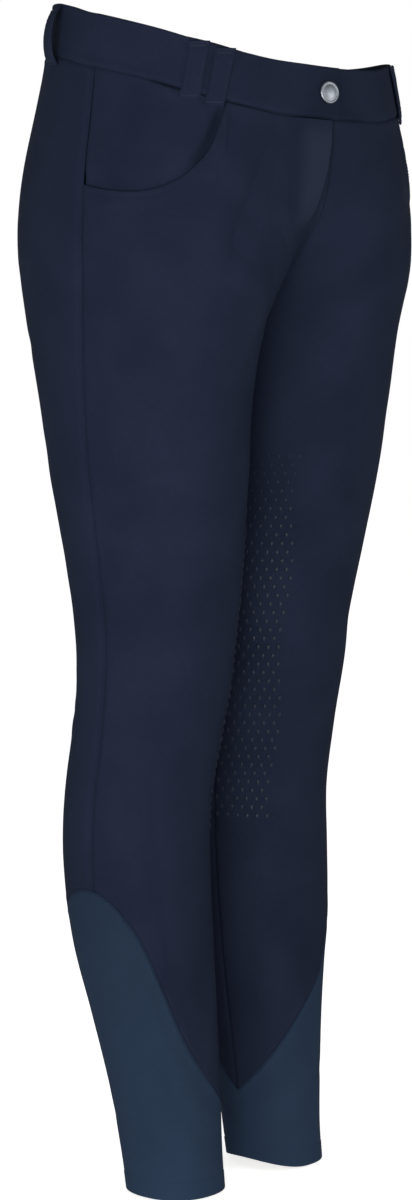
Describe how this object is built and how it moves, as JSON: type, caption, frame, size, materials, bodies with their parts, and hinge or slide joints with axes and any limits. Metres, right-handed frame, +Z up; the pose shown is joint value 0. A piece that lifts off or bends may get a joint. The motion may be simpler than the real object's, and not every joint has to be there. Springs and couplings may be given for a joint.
{
  "type": "riding breeches",
  "caption": "Women's stretch riding breeches, filled out as worn: waistband with belt loops and a button, fly, scoop pockets, close legs and knit lower legs.",
  "frame": {"origin": "middle of the waist opening at the height of the waist edge on the side seams", "axes": "+Z up along the legs to the waist, front towards -Y, the wearer's left towards +X"},
  "size_m": [0.323, 0.2486, 0.938],
  "materials": {
    "stretch_cloth": "matt navy stretch twill",
    "knit_cloth": "lighter navy elastic knit, matt",
    "button_metal": "satin silver metal"
  },
  "bodies": {
    "root": {"front_right": "stretch_cloth", "back_right": "stretch_cloth", "pocket_facing_right": "stretch_cloth", "waistband_right": "stretch_cloth", "belt_loop_outer_right": "stretch_cloth", "belt_loop_inner_right": "stretch_cloth", "belt_loop_rear_right": "stretch_cloth", "cuff_right": "knit_cloth", "front_left": "stretch_cloth", "back_left": "stretch_cloth", "pocket_facing_left": "stretch_cloth", "waistband_left": "stretch_cloth", "belt_loop_outer_left": "stretch_cloth", "belt_loop_inner_left": "stretch_cloth", "belt_loop_rear_left": "stretch_cloth", "cuff_left": "knit_cloth", "fly_lap": "stretch_cloth", "waist_button": "button_metal"}
  },
  "joints": []
}
